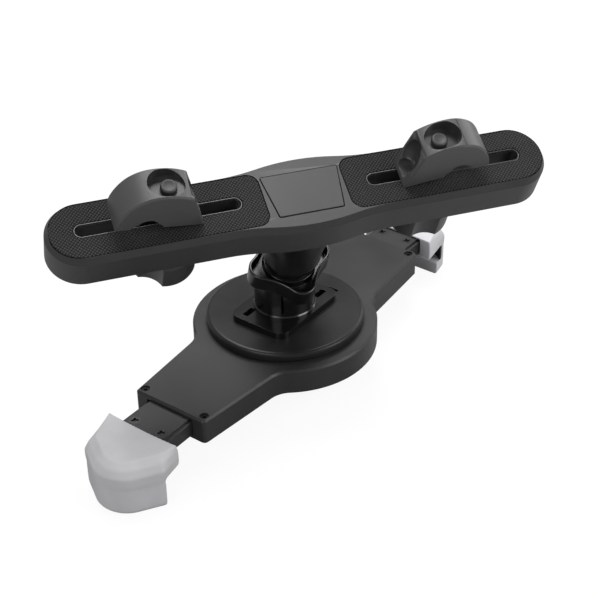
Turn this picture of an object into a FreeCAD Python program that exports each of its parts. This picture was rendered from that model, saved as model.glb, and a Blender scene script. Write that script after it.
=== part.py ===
import FreeCAD, Part
import math
import os

# Headrest mount for a tablet. Millimetres. The origin is the centre of the holder's flat underside,
# on the turntable's axis, +Z up, and +X runs along the headrest bar as it stands at rest.

V = FreeCAD.Vector
X_AXIS = V(1, 0, 0)
Z_AXIS = V(0, 0, 1)

# Pose at rest
bar_tilt = 25.8
arm_turn = 35.0
tablet_turn = 2.46
ball_height = 30.8

# Clearances
gap = 0.3
slide_gap = 0.2
running_gap = 0.05
seat_gap = 0.02

# Holder: two shells on a round middle with two tapering ends
holder_radius = 43.0
holder_reach = 83.0
root_half_width = 23.2
root_station = 41.0
end_half_width = 19.4
root_blend = 12.0
end_corner = 2.0
holder_height = 11.8
split_height = 6.2
shell_wall = 2.0
floor_thickness = 1.5
roof_thickness = 1.9
shell_edge = 0.9
rail_start = 66.5
rail_end = 81.0
rail_width = 1.4
hub_hole = 12.0

# Shell screws
shell_screw_station = 79.5
shell_screw_offset = 16.6
shell_boss = 2.7
shell_head_radius = 1.9
shell_head_height = 1.5
shell_head_sink = 2.2
shell_shank = 1.05
shell_pilot_floor = 2.4

# Sliding arms
arm_half_width = 12.5
arm_crest_half_width = 10.9
arm_bottom = 1.8
arm_top = 9.6
arm_shoulder_drop = 1.2
arm_web = 2.2
arm_side = 2.5
arm_inner_end = 41.0
arm_stop_half_width = 14.4
arm_stop_length = 3.0
arm_seat_depth = 10.8
far_arm_shift = 4.7

# Claws, placed by the tablet's corner
claw_edge = 101.2
claw_top = 10.8
claw_underside = 0.15
claw_bottom = -14.2
claw_lip_top = -7.6
claw_side_x = -109.5
claw_side_y = -78.2
claw_corner = 15.0
claw_ear_left = (-94.8, -37.3)
claw_ear_right = (-73.8, -70.3)
claw_cut_left = -50.5
claw_cut_right = -82.5
claw_wall_inset = 0.3
claw_ear_draft = 0.15
claw_shoulder = 8.4
claw_side_bevel = 2.0
claw_side_bevel_height = 3.4
claw_top_bevel = 3.2
claw_bottom_bevel = 1.5
lip_start = 110.5
pocket_x = -106.9
pocket_y = -76.3
pocket_corner = 9.0
pad_wall = 1.2
claw_mouth_floor = 1.35
claw_tongue_reach = 7.0
claw_tongue_half_width = 9.6
claw_screw_setback = 4.2
claw_screw_offset = 7.4
claw_screw_head = 2.7
claw_screw_sink = 1.5
claw_screw_shank = 1.35
claw_screw_length = 6.2

# Friction springs under the arms
leaf_start = 64.5
leaf_end = 75.5
leaf_half_width = 3.5
leaf_thickness = 0.5

# Turntable
disc_radius = 36.65
disc_bottom = holder_height + gap
disc_top = 16.7
disc_edge = 1.5
disc_edge_step = 0.45
disc_web = 2.4
disc_rim = 3.5
hub_length = 2.5
retainer_radius = 15.0
retainer_bore = 4.0
retainer_thickness = 1.5
turntable_screw_circle = 10.0
turntable_screw_head = 2.5
turntable_screw_head_height = 1.6
turntable_screw_shank = 1.45
turntable_screw_depth = 4.0
disc_slit = (25.9, -8.8)
disc_slit_size = (1.6, 5.6, 1.2)

# Socket plate and ball cup
plate_size = (44.5, 31.0)
plate_corner = 5.0
plate_thickness = 3.1
plate_slots = ((-15.6, 8.6), (15.6, -8.6))
plate_slot_size = (6.7, 3.0)
cup_radius = 14.0
cup_spigot = 13.0
cup_rise = 4.5
cup_foot = 0.5
cup_foot_height = 1.0
cup_edge = 0.6
cup_slit_width = 1.0
cup_slit_bottom = 3.2
cup_floor = 18.7
cup_seat_angle = 45.0
cup_slit_turn = -112.0
cup_slits = 4

# Ball, liner and stud, measured from the ball's centre along the neck
liner_radius = 12.0
stud_ball = 10.0
shank_radius = 5.5
stud_shoulder = 11.9
stud_rod = 4.0
stud_nut_across_flats = 13.0
stud_nut_height = 6.0
stud_washer_radius = 7.4
stud_washer_thickness = 1.0
stud_end_play = 1.0

# Ring nut and its washer
nut_lobes = 4
nut_outer = 19.5
nut_valley = 14.4
nut_lobe_radius = 6.5
nut_turn = 7.6
nut_bottom = 10.6
nut_height = 9.8
nut_bevel = 0.7
nut_wall = 1.3
nut_recess = 12.8
nut_washer_bottom = 12.3
nut_washer_thickness = 0.9
nut_web = 1.8
nut_hub_wall = 2.0
nut_hub_top = 19.0

# Neck, part of the bar moulding
neck_start = 12.2
neck_radius = 9.8
neck_thread_end = 24.0
neck_cone_end = 27.0
neck_waist = 13.3
neck_middle = 42.0
neck_middle_size = (15.2, 14.2)
neck_root_size = (23.0, 17.5)

# Headrest bar
bar_top = 72.6
bar_thickness = 17.5
bar_half_length = 110.1
bar_half_width = 15.0
bar_bulge = 3.3
bar_bulge_reach = 36.0
bar_bevel = 1.7
bar_bevel_height = 3.2
bar_foot_bevel = 0.8
bar_wall = 2.5
bar_deck = 2.5
rib_wall = 2.5
cell_start = 26.0
cell_end = 94.0
cell_count = 4
cell_rib = 2.0
stud_pocket_radius = 8.0
stud_pocket_floor = 60.0

# Rubber pads on the bar
pad_arc_centre = 95.5
pad_radius = 12.8
pad_inner = 18.2
pad_corner = 5.0
pad_thickness = 1.6
pad_groove = 0.4
slot_inner = 27.2
slot_outer = 98.5
pad_slot_half_width = 3.5
bar_slot_half_width = 2.7

# Centre panel, wider on its far side
panel_far_half = 17.0
panel_near_half = 14.0
panel_far_edge = 10.1
panel_near_edge = -10.6
panel_corner = 0.6
panel_groove = 0.4
panel_thickness = 1.5
panel_rise = 0.3

# Clamping jaws, measured from the bolt towards the outer end
jaw_stations = {"left": -59.9, "right": 56.3}
jaw_half_width = 7.65
jaw_lean = 9.6
heel_station = -14.3
flank_lean = 15.0
crown_station = 6.3
crown_top = 24.1
crown_inner_radius = 26.7
crown_outer_radius = 15.2
crown_outer_turn = 40.0
jaw_end_radius = 24.0
jaw_corner = 1.6
jaw_edge = 0.7
arch_station = 10.9
arch_radius = 8.7
post_station = 9.9
post_radius = 5.0
counterbore_radius = 6.7
counterbore_shift = 2.2
counterbore_floor = 18.9
scoop_radius = 4.3
scoop_depth = 14.5
scoop_lean = 30.0
core_width = 8.6
core_height = 4.6
core_depth = 7.0
core_level = 4.2
guide_half_length = 8.0
guide_depth = 5.0
guide_rise = 4.0
jaw_bolt_hole = 2.1

# Clamp bolts, knobs and washers
bolt_radius = 2.0
bolt_head_radius = 3.5
bolt_head_height = 2.4
bolt_head_bevel = 0.8
bolt_tip = -31.0
bolt_recess_half = 1.1
bolt_recess_depth = 1.2
knob_notches = 3
knob_radius = 14.3
knob_notch_radius = 9.75
knob_notch_reach = 21.25
knob_height = 14.5
knob_bevel = 0.8
knob_foot_bevel = 1.6
knob_turns = {"left": -127.0, "right": -95.0}
knob_core_radius = 9.5
knob_core_depth = 3.0
insert_radius = 3.5
insert_height = 6.0
slide_washer_radius = 8.0
slide_washer_thickness = 1.0

bar_bottom = bar_top - bar_thickness
plate_top = disc_top + plate_thickness
cup_top = ball_height + cup_rise
mouth_half_width = arm_half_width + gap
mouth_top = arm_top + gap
web_bottom = arm_top - arm_web
retainer_top = holder_height - roof_thickness - gap


def box(x0, x1, y0, y1, z0, z1):
    return Part.makeBox(x1 - x0, y1 - y0, z1 - z0, V(x0, y0, z0))


def rod(radius, z0, z1, x=0.0, y=0.0):
    return Part.makeCylinder(radius, z1 - z0, V(x, y, z0))


def cone(r0, r1, z0, z1, x=0.0, y=0.0):
    return Part.makeCone(r0, r1, z1 - z0, V(x, y, z0))


def prism(wire, z0, z1):
    face = Part.Face(wire)
    face.translate(V(0, 0, z0))
    return face.extrude(V(0, 0, z1 - z0))


def polar(radius, degrees, centre=(0.0, 0.0)):
    turn = math.radians(degrees)
    return V(centre[0] + radius * math.cos(turn), centre[1] + radius * math.sin(turn), 0)


def arc(centre, radius, start, end):
    """An arc from the angle start to the angle end, in degrees, either way round."""
    middle = 0.5 * (start + end)
    points = [polar(radius, angle, centre) for angle in (start, middle, end)]
    return Part.Arc(*points).toShape()


def line(a, b):
    return Part.LineSegment(V(*a), V(*b)).toShape()


def joined(edges):
    return Part.Wire(Part.__sortEdges__(edges))


def turned(shape, degrees, centre=V(0, 0, 0), axis=Z_AXIS):
    copy = shape.copy()
    copy.rotate(centre, axis, degrees)
    return copy


def moved(shape, x, y, z):
    copy = shape.copy()
    copy.translate(V(x, y, z))
    return copy


def one_solid(shape):
    shape = shape.removeSplitter()
    return shape.Solids[0] if len(shape.Solids) == 1 else shape


def bevelled(outline, z0, z1, top_in, top_height, foot_in=0.0, foot_height=0.0):
    """A prism over outline(inset) with straight bevels round its top and its foot."""
    low, high = z0 + foot_height, z1 - top_height
    solid = prism(outline(0.0), low, high)
    ends = ((high, z1, top_in, True), (low, z0, foot_in, False))
    for inner, outer, inset, wanted in ends:
        if inset <= 0:
            continue
        wide, narrow = outline(0.0), outline(inset)
        wide.translate(V(0, 0, inner))
        narrow.translate(V(0, 0, outer))
        pair = [wide, narrow] if wanted else [narrow, wide]
        solid = solid.fuse(Part.makeLoft(pair, True, True))
    return one_solid(solid)


def rounded_rectangle(length, width, radius):
    a, b = length / 2 - radius, width / 2 - radius
    edges = []
    for quarter, (x, y) in enumerate(((a, b), (-a, b), (-a, -b), (a, -b))):
        edges.append(arc((x, y), radius, 90 * quarter, 90 * quarter + 90))
    for side in (1, -1):
        edges.append(line((a, side * (b + radius), 0), (-a, side * (b + radius), 0)))
        edges.append(line((side * (a + radius), b, 0), (side * (a + radius), -b, 0)))
    return joined(edges)


def obround(x0, x1, half_width, y=0.0):
    a, b = x0 + half_width, x1 - half_width
    edges = [arc((b, y), half_width, -90, 90), arc((a, y), half_width, 90, 270)]
    edges += [line((a, y + half_width, 0), (b, y + half_width, 0))]
    edges += [line((a, y - half_width, 0), (b, y - half_width, 0))]
    return joined(edges)


def lobed(count, outer, valley, lobe_radius, inset=0.0):
    """A star knob's outline: round lobes with hollow arcs between them, tangent to each other."""
    reach = outer - lobe_radius
    half = math.pi / count
    above = lobe_radius ** 2 - reach ** 2 - valley ** 2 + 2 * reach * valley * math.cos(half)
    hollow_radius = above / (2 * (valley - reach * math.cos(half) - lobe_radius))
    hollow_centre = valley + hollow_radius
    lobe = V(reach, 0, 0)
    hollow = polar(hollow_centre, math.degrees(half))
    towards = hollow - lobe
    swing = math.degrees(math.atan2(towards.y, towards.x))
    back = math.degrees(half) + 180 - (swing + 180)
    edges = []
    for number in range(count):
        turn = number * 360 / count
        centre = polar(reach, turn)
        edges.append(arc((centre.x, centre.y), lobe_radius - inset, turn - swing, turn + swing))
        middle = turn + math.degrees(half)
        centre = polar(hollow_centre, middle)
        facing = middle + 180
        edges.append(arc((centre.x, centre.y), hollow_radius + inset, facing - back, facing + back))
    return joined(edges)


def notched(inset=0.0):
    """A clamp knob's outline: a circle with hollow finger notches and sharp corners between them."""
    radius, hollow, reach = knob_radius - inset, knob_notch_radius + inset, knob_notch_reach
    half = math.degrees(math.acos((radius ** 2 + reach ** 2 - hollow ** 2) / (2 * radius * reach)))
    swing = math.degrees(math.acos((hollow ** 2 + reach ** 2 - radius ** 2) / (2 * hollow * reach)))
    step = 360 / knob_notches
    edges = []
    for number in range(knob_notches):
        turn = number * step
        centre = polar(reach, turn)
        edges.append(arc((centre.x, centre.y), hollow, turn + 180 - swing, turn + 180 + swing))
        edges.append(arc((0, 0), radius, turn + half, turn + step - half))
    return joined(edges)


# Placing: the arm frame, the tablet frame and the bar frame
def in_arm_frame(shape, far=False):
    return turned(shape, arm_turn + (0 if far else 180))


def in_tablet_frame(shape):
    return turned(shape, tablet_turn)


def in_bar_frame(shape):
    copy = turned(shape, bar_tilt, axis=X_AXIS)
    copy.translate(V(0, 0, ball_height))
    return copy


# Holder shells
def holder_outline(inset=0.0):
    radius = holder_radius - inset
    blend = root_blend + inset
    slope = math.atan2(root_half_width - end_half_width, holder_reach - root_station)
    reach = holder_reach - inset
    corner = max(end_corner - inset, 0.4)

    def side(u):
        return root_half_width - inset / math.cos(slope) - (u - root_station) * math.tan(slope)

    def miss(u):
        height = side(u) + blend / math.cos(slope)
        return math.hypot(u, height) - (radius + blend)

    low, high = 0.0, holder_reach
    for _ in range(60):
        middle = 0.5 * (low + high)
        low, high = (middle, high) if miss(middle) < 0 else (low, middle)
    centre = (low, side(low) + blend / math.cos(slope))
    bearing = math.degrees(math.atan2(centre[1], centre[0]))
    fall = math.degrees(slope)
    foot = polar(blend, -90 - fall, centre)
    corner_y = side(reach - corner) - corner / math.cos(slope)
    tip = polar(corner, 90 - fall, (reach - corner, corner_y))
    edges = []
    quarter = [
        (centre, blend, bearing + 180, 270 - fall),
        ((reach - corner, corner_y), corner, 0, 90 - fall),
    ]
    for mirror_x in (1, -1):
        for mirror_y in (1, -1):
            for middle, size, start, end in quarter:
                points = [polar(size, angle, middle) for angle in (start, 0.5 * (start + end), end)]
                points = [V(p.x * mirror_x, p.y * mirror_y, 0) for p in points]
                edges.append(Part.Arc(*points).toShape())
            a = (foot.x * mirror_x, foot.y * mirror_y, 0)
            b = (tip.x * mirror_x, tip.y * mirror_y, 0)
            edges.append(line(a, b))
        edges.append(line((reach * mirror_x, corner_y, 0), (reach * mirror_x, -corner_y, 0)))
    edges += [arc((0, 0), radius, bearing, 180 - bearing), arc((0, 0), radius, -bearing, bearing - 180)]
    return joined(edges)


def screw_places():
    return [(sx * shell_screw_station, sy * shell_screw_offset) for sx in (1, -1) for sy in (1, -1)]


def rails(z0, z1):
    """Guide rails beside each arm, from the arm's stop to the mouth."""
    solids = []
    for end in (1, -1):
        for side in (1, -1):
            u = sorted((end * rail_start, end * rail_end))
            w = sorted((side * mouth_half_width, side * (mouth_half_width + rail_width)))
            solids.append(box(u[0], u[1], w[0], w[1], z0, z1))
    return solids


def mouths(z0, z1):
    inner, reach = holder_reach - 3 * shell_wall, holder_reach + 1
    right = box(inner, reach, -mouth_half_width, mouth_half_width, z0, z1)
    return [right, turned(right, 180)]


def holder_lower_shell():
    shell = prism(holder_outline(), 0, split_height)
    shell = shell.cut(prism(holder_outline(shell_wall), floor_thickness, split_height + 1))
    posts = [rod(shell_boss, floor_thickness, split_height, x, y) for x, y in screw_places()]
    shell = shell.fuse(rails(floor_thickness, split_height) + posts)
    pilot = shell_shank + running_gap
    pilots = [rod(pilot, shell_pilot_floor, holder_height, x, y) for x, y in screw_places()]
    shell = shell.cut(mouths(floor_thickness, split_height + 1) + pilots)
    return one_solid(shell)


def holder_upper_shell():
    roof = holder_height - roof_thickness
    shell = bevelled(holder_outline, split_height, holder_height, shell_edge, shell_edge)
    shell = shell.cut(prism(holder_outline(shell_wall), split_height - 1, roof))
    posts = [rod(shell_boss, split_height, roof, x, y) for x, y in screw_places()]
    shell = shell.fuse(rails(split_height, roof) + posts)
    seat = holder_height - shell_head_sink
    holes = [rod(shell_shank + gap, split_height - 1, seat, x, y) for x, y in screw_places()]
    holes += [rod(shell_head_radius + slide_gap, seat, holder_height + 1, x, y) for x, y in screw_places()]
    holes.append(rod(hub_hole, roof - 1, holder_height + 1))
    shell = shell.cut(mouths(split_height - 1, mouth_top) + holes)
    return one_solid(shell)


def cross_recess(half, depth, top, x, y, turn=0.0):
    """The two crossing slots in a screw's head."""
    bars = [box(-half, half, -half / 3, half / 3, top - depth, top + 1)]
    bars.append(box(-half / 3, half / 3, -half, half, top - depth, top + 1))
    return [moved(turned(bar, turn), x, y, 0) for bar in bars]


def shell_screws():
    seat = holder_height - shell_head_sink
    top = seat + shell_head_height
    screws = []
    for x, y in screw_places():
        shank = rod(shell_shank, shell_pilot_floor + gap, seat, x, y)
        screw = shank.fuse(rod(shell_head_radius, seat, top, x, y))
        screws.append(screw.cut(cross_recess(shell_head_radius / 2, shell_head_height / 2, top, x, y)))
    return Part.makeCompound([s.Solids[0] for s in screws])


def friction_springs():
    """Two bent strips on the floor, each pressing up on the inside of an arm's channel."""
    foot = floor_thickness
    crest = web_bottom - gap
    middle = 0.5 * (leaf_start + leaf_end)

    def strip(rise):
        a = V(leaf_start, 0, foot + rise)
        b = V(middle, 0, crest - leaf_thickness + rise)
        c = V(leaf_end, 0, foot + rise)
        return Part.Arc(a, b, c).toShape()

    low, high = strip(0.0), strip(leaf_thickness)
    sides = [Part.LineSegment(low.Vertexes[i].Point, high.Vertexes[i].Point).toShape() for i in (0, 1)]
    face = Part.Face(joined([low, high] + sides))
    face.translate(V(0, -leaf_half_width, 0))
    leaf = face.extrude(V(0, 2 * leaf_half_width, 0))
    return Part.makeCompound([leaf, turned(leaf, 180)])


# Sliding arms, drawn along +X and then turned to their side of the holder
def arm_shift(far):
    return -far_arm_shift if far else 0.0


def sliding_arm(far):
    outer = claw_edge + arm_seat_depth
    body = box(arm_inner_end, outer, -arm_half_width, arm_half_width, arm_bottom, arm_top - arm_shoulder_drop)
    crest = box(arm_inner_end, outer, -arm_crest_half_width, arm_crest_half_width, arm_bottom, arm_top)
    stop_end = arm_inner_end + arm_stop_length
    stop_top = arm_top - arm_shoulder_drop
    stop = box(arm_inner_end, stop_end, -arm_stop_half_width, arm_stop_half_width, arm_bottom, stop_top)
    arm = body.fuse([crest, stop])
    inside = arm_half_width - arm_side
    arm = arm.cut(box(arm_inner_end - 1, outer + 1, -inside, inside, arm_bottom - 1, web_bottom))
    holes = []
    for side in (1, -1):
        x, y = claw_edge - claw_screw_setback, side * claw_screw_offset
        seat = arm_top - claw_screw_sink
        holes.append(rod(claw_screw_shank + slide_gap, web_bottom - 1, arm_top + 1, x, y))
        holes.append(cone(claw_screw_shank, claw_screw_head + seat_gap, seat, arm_top, x, y))
    return moved(one_solid(arm.cut(holes)), arm_shift(far), 0, 0)


def claw_screws(far):
    screws = []
    for side in (1, -1):
        x, y = claw_edge - claw_screw_setback, side * claw_screw_offset
        seat = arm_top - claw_screw_sink
        screw = cone(claw_screw_shank, claw_screw_head, seat, arm_top, x, y)
        screw = screw.fuse(rod(claw_screw_shank, arm_top - claw_screw_length, seat, x, y))
        screw = screw.cut(cross_recess(claw_screw_head * 0.6, claw_screw_sink * 0.6, arm_top, x, y, 45))
        screws.append(moved(screw.Solids[0], arm_shift(far), 0, 0))
    return Part.makeCompound(screws)


# Claws, drawn round the tablet's near corner in the tablet's own directions
def along_arm(x, y):
    """How far a point in the tablet's directions lies out along the near arm."""
    turn = math.radians(arm_turn - tablet_turn)
    return -x * math.cos(turn) - y * math.sin(turn)


def claw_outline(inset=0.0):
    x, y, r = claw_side_x + inset, claw_side_y + inset, claw_corner - inset
    turn = math.radians(arm_turn - tablet_turn)
    a = (claw_ear_left[0], claw_ear_left[1] - inset * claw_ear_draft, 0)
    e = (claw_ear_right[0] - inset * claw_ear_draft, claw_ear_right[1], 0)
    middle = V(0.5 * (a[0] + e[0]), 0.5 * (a[1] + e[1]), 0)
    middle = middle + V(-math.cos(turn), -math.sin(turn), 0) * (claw_edge - along_arm(middle.x, middle.y))
    edges = [
        line(a, (x, claw_cut_left, 0)),
        line((x, claw_cut_left, 0), (x, y + r, 0)),
        arc((x + r, y + r), r, 180, 270),
        line((x + r, y, 0), (claw_cut_right, y, 0)),
        line((claw_cut_right, y, 0), e),
        Part.Arc(V(*e), middle, V(*a)).toShape(),
    ]
    return joined(edges)


def outside_pocket(inset, z0, z1):
    """The block that a tablet's corner fills, larger than the pocket by nothing and smaller by inset."""
    x, y, r = pocket_x + inset, pocket_y + inset, pocket_corner - inset
    far = 60.0
    edges = [
        arc((x + r, y + r), r, 180, 270),
        line((x + r, y, 0), (x + far, y, 0)),
        line((x + far, y, 0), (x + far, y + far, 0)),
        line((x + far, y + far, 0), (x, y + far, 0)),
        line((x, y + far, 0), (x, y + r, 0)),
    ]
    return prism(joined(edges), z0, z1)


def beyond(station, z0, z1):
    """Everything that lies further out along the near arm than station."""
    block = box(-station - 60, -station, -60, 60, z0, z1)
    return turned(block, arm_turn - tablet_turn)


def claw_blank():
    cap = bevelled(claw_outline, claw_underside, claw_shoulder, claw_side_bevel, claw_side_bevel_height)
    low, high = claw_outline(claw_side_bevel), claw_outline(claw_side_bevel + claw_top_bevel)
    low.translate(V(0, 0, claw_shoulder))
    high.translate(V(0, 0, claw_top))
    cap = cap.fuse(Part.makeLoft([low, high], True, True))

    def wall_outline(inset=0.0):
        return claw_outline(claw_wall_inset + inset)

    foot = (claw_bottom_bevel, claw_bottom_bevel)
    wall = bevelled(wall_outline, claw_bottom, claw_underside + 2, 0.0, 0.0, *foot)
    wall = wall.common(beyond(lip_start, claw_bottom - 1, claw_top))
    return cap.fuse(wall).cut(outside_pocket(0.0, claw_lip_top, claw_underside))


def claw_pad_blank():
    """The rubber lining of the pocket's two walls."""
    lining = outside_pocket(0.0, claw_lip_top, claw_underside)
    lining = lining.cut(outside_pocket(pad_wall, claw_lip_top - 1, claw_underside + 1))
    lining = lining.common(prism(claw_outline(claw_wall_inset), claw_lip_top, claw_underside))
    return lining.common(beyond(lip_start, claw_lip_top - 1, claw_underside + 1))


def to_far_side(shape, far):
    """The far claw is the near one turned half round and pushed in with its arm."""
    shape = in_tablet_frame(shape)
    if not far:
        return shape
    shift = polar(far_arm_shift, arm_turn + 180)
    return moved(turned(shape, 180), shift.x, shift.y, 0)


def claw(far):
    mouth_end = claw_edge + arm_seat_depth + gap
    floor = claw_underside + claw_mouth_floor
    mouth = box(0, mouth_end, -mouth_half_width, mouth_half_width, floor, mouth_top)
    tongue_floor = arm_bottom + slide_gap / 2
    reach = claw_edge - claw_tongue_reach
    half = claw_tongue_half_width
    tongue = box(reach, mouth_end + 1, -half, half, tongue_floor, web_bottom)
    tongue = tongue.fuse(box(claw_edge + 2, mouth_end, -half, half, floor - slide_gap, tongue_floor))
    pilots = []
    for side in (1, -1):
        x, y = claw_edge - claw_screw_setback, side * claw_screw_offset
        pilots.append(rod(claw_screw_shank + running_gap, arm_top - claw_screw_length - gap, arm_top, x, y))
    tool = turned(mouth, 180 + arm_turn - tablet_turn)
    added = turned(tongue.cut(pilots), 180 + arm_turn - tablet_turn)
    return to_far_side(one_solid(claw_blank().cut(tool).fuse(added)), far)


def claw_pad(far):
    return to_far_side(one_solid(claw_pad_blank()), far)


# Turntable
def turntable_places():
    return [polar(turntable_screw_circle, 45 + 90 * k) for k in range(4)]


def turntable_disc():
    hub_foot = disc_bottom - hub_length
    under = disc_top - disc_web
    outline = [
        (0, hub_foot), (hub_hole - running_gap, hub_foot), (hub_hole - running_gap, disc_bottom),
        (hub_hole + 2.5, disc_bottom), (hub_hole + 2.5, under), (disc_radius - disc_rim, under),
        (disc_radius - disc_rim, disc_bottom), (disc_radius - disc_edge / 2, disc_bottom),
        (disc_radius, disc_bottom + disc_edge / 2), (disc_radius, disc_top - disc_edge),
        (disc_radius - disc_edge_step, disc_top - disc_edge_step), (disc_radius - disc_edge, disc_top),
        (0, disc_top),
    ]
    ends = zip(outline, outline[1:] + outline[:1])
    edges = [line((a[0], 0, a[1]), (b[0], 0, b[1])) for a, b in ends]
    disc = Part.Face(joined(edges)).revolve(V(0, 0, 0), Z_AXIS, 360)
    hole = turntable_screw_shank + slide_gap
    holes = [rod(hole, hub_foot - 1, disc_top + 1, p.x, p.y) for p in turntable_places()]
    u, w = disc_slit
    length, width, depth = disc_slit_size
    slit = box(-length / 2, length / 2, -width / 2, width / 2, disc_top - depth, disc_top + 1)
    holes.append(moved(slit, u, w, 0))
    return one_solid(disc.cut(holes))


def turntable_retainer():
    plate = rod(retainer_radius, retainer_top - retainer_thickness, retainer_top)
    hole = turntable_screw_shank + slide_gap
    holes = [rod(hole, 0, holder_height, p.x, p.y) for p in turntable_places()]
    holes.append(rod(retainer_bore, 0, holder_height))
    return one_solid(plate.cut(holes))


def turntable_screws():
    seat = retainer_top - retainer_thickness
    foot = seat - turntable_screw_head_height
    tip = disc_top + turntable_screw_depth
    screws = []
    for p in turntable_places():
        head = rod(turntable_screw_head, foot, seat, p.x, p.y)
        slots = cross_recess(turntable_screw_head / 2, 0.8, foot + 0.8, p.x, p.y)
        lower = [s.common(box(-50, 50, -50, 50, foot - 1, foot + 0.8)) for s in slots]
        screw = head.cut(lower).fuse(rod(turntable_screw_shank, seat, tip, p.x, p.y))
        screws.append(screw.Solids[0])
    return Part.makeCompound(screws)


def socket_plate():
    plate = prism(rounded_rectangle(plate_size[0], plate_size[1], plate_corner), disc_top, plate_top)
    length, width = plate_slot_size
    tools = [rod(cup_spigot + running_gap, disc_top - 1, plate_top + 1)]
    for u, w in plate_slots:
        slot = rounded_rectangle(length, width, width / 6)
        tools.append(moved(prism(slot, disc_top - 1, plate_top + 1), u, w, 0))
    return one_solid(plate.cut(tools))


def ball_cup():
    """A cup bored straight for the ball's liner, with a conical seat under it."""
    bore = liner_radius + running_gap
    seat = math.radians(cup_seat_angle)
    touch_radius, touch_height = bore * math.sin(seat), ball_height - bore * math.cos(seat)
    seat_top = touch_height + (bore - touch_radius) * math.tan(seat)
    seat_foot = touch_radius - (touch_height - cup_floor) / math.tan(seat)
    foot_top = plate_top + cup_foot_height
    outline = [
        (0, disc_top), (cup_spigot, disc_top), (cup_spigot, plate_top), (cup_radius + cup_foot, plate_top),
        (cup_radius + cup_foot, foot_top), (cup_radius, foot_top + cup_foot),
        (cup_radius, cup_top - cup_edge), (cup_radius - cup_edge, cup_top), (bore, cup_top),
        (bore, seat_top), (seat_foot, cup_floor), (0, cup_floor),
    ]
    ends = zip(outline, outline[1:] + outline[:1])
    edges = [line((a[0], 0, a[1]), (b[0], 0, b[1])) for a, b in ends]
    cup = Part.Face(joined(edges)).revolve(V(0, 0, 0), Z_AXIS, 360)
    tools = []
    for number in range(cup_slits):
        half = cup_slit_width / 2
        slit = box(liner_radius - 5, cup_radius + 2, -half, half, plate_top + cup_slit_bottom, cup_top + 1)
        tools.append(turned(slit, cup_slit_turn + number * 360 / cup_slits))
    top = disc_top + turntable_screw_depth + gap
    pilot = turntable_screw_shank + running_gap
    for p in turntable_places():
        place = turned(rod(pilot, disc_top - 1, top, p.x, p.y), arm_turn)
        tools.append(place)
    return one_solid(cup.cut(tools))


# Ball joint, drawn round the ball's centre with the neck along +Z
def ball_liner():
    """The plastic ring between the cup and the steel ball, round outside and bored straight."""
    ball = Part.makeSphere(liner_radius)
    return one_solid(ball.cut(rod(stud_ball + running_gap, -liner_radius, liner_radius)))


def ball_stud():
    tip = stud_pocket_floor + stud_washer_thickness + stud_nut_height + stud_end_play
    stud = Part.makeSphere(stud_ball).fuse(rod(shank_radius, 0, stud_shoulder))
    return one_solid(stud.fuse(rod(stud_rod, 0, tip)))


def stud_washer():
    foot = stud_pocket_floor + slide_gap
    ring = rod(stud_washer_radius, foot, foot + stud_washer_thickness)
    return ring.cut(rod(stud_rod + running_gap, 0, bar_top))


def hexagon(across_flats, z0, z1):
    corner = across_flats / 2 / math.cos(math.radians(30))
    points = [polar(corner, 60 * k) for k in range(7)]
    return prism(Part.makePolygon(points), z0, z1)


def stud_nut():
    foot = stud_pocket_floor + slide_gap + stud_washer_thickness
    nut = hexagon(stud_nut_across_flats, foot, foot + stud_nut_height)
    corner = stud_nut_across_flats / 2 / math.cos(math.radians(30))
    half = corner + stud_nut_height
    nut = nut.common(cone(half, half - 2 * stud_nut_height + 1, foot - 4, foot + 2 * stud_nut_height - 5))
    return one_solid(nut.cut(rod(stud_rod + seat_gap, 0, bar_top)))


def nut_washer():
    top = nut_washer_bottom + nut_washer_thickness
    ring = rod(nut_recess - gap, nut_washer_bottom, top)
    return ring.cut(rod(neck_radius + running_gap, 0, bar_top))


def ring_nut():
    def outline(inset=0.0):
        return lobed(nut_lobes, nut_outer, nut_valley, nut_lobe_radius, inset)

    top = nut_bottom + nut_height
    web_foot = nut_washer_bottom + nut_washer_thickness + slide_gap
    web_top = web_foot + nut_web
    nut = bevelled(outline, nut_bottom, top, nut_bevel / 2, nut_bevel, nut_bevel, nut_bevel)
    nut = nut.cut(prism(outline(nut_wall), web_top, top + 1))
    nut = nut.fuse(rod(neck_radius + nut_hub_wall, web_foot, nut_hub_top))
    nut = nut.cut([rod(nut_recess, nut_bottom - 1, web_foot), rod(neck_radius + running_gap, 0, bar_top)])
    return turned(one_solid(nut), nut_turn)


# Headrest bar, drawn with its top face at bar_top above the ball's centre
def bar_outline(inset=0.0):
    end_radius = bar_half_width
    centre = bar_half_length - end_radius
    swell = (bar_bulge_reach ** 2 + bar_bulge ** 2) / (4 * bar_bulge)
    turn = math.degrees(math.asin(bar_bulge_reach / 2 / swell))
    edges = []
    for mirror in (1, -1):
        edges.append(arc((mirror * centre, 0), end_radius - inset, -mirror * 90, 180 - mirror * 90))
        y = mirror * (bar_half_width - inset)
        for side in (1, -1):
            edges.append(line((side * bar_bulge_reach, y, 0), (side * centre, y, 0)))
            hollow = (side * bar_bulge_reach, mirror * (bar_half_width + swell))
            start = -mirror * 90
            edges.append(arc(hollow, swell + inset, start, start - mirror * side * turn))
        crest = (0, mirror * (bar_half_width + bar_bulge - swell))
        edges.append(arc(crest, swell - inset, mirror * 90 - turn, mirror * 90 + turn))
    return joined(edges)


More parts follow.
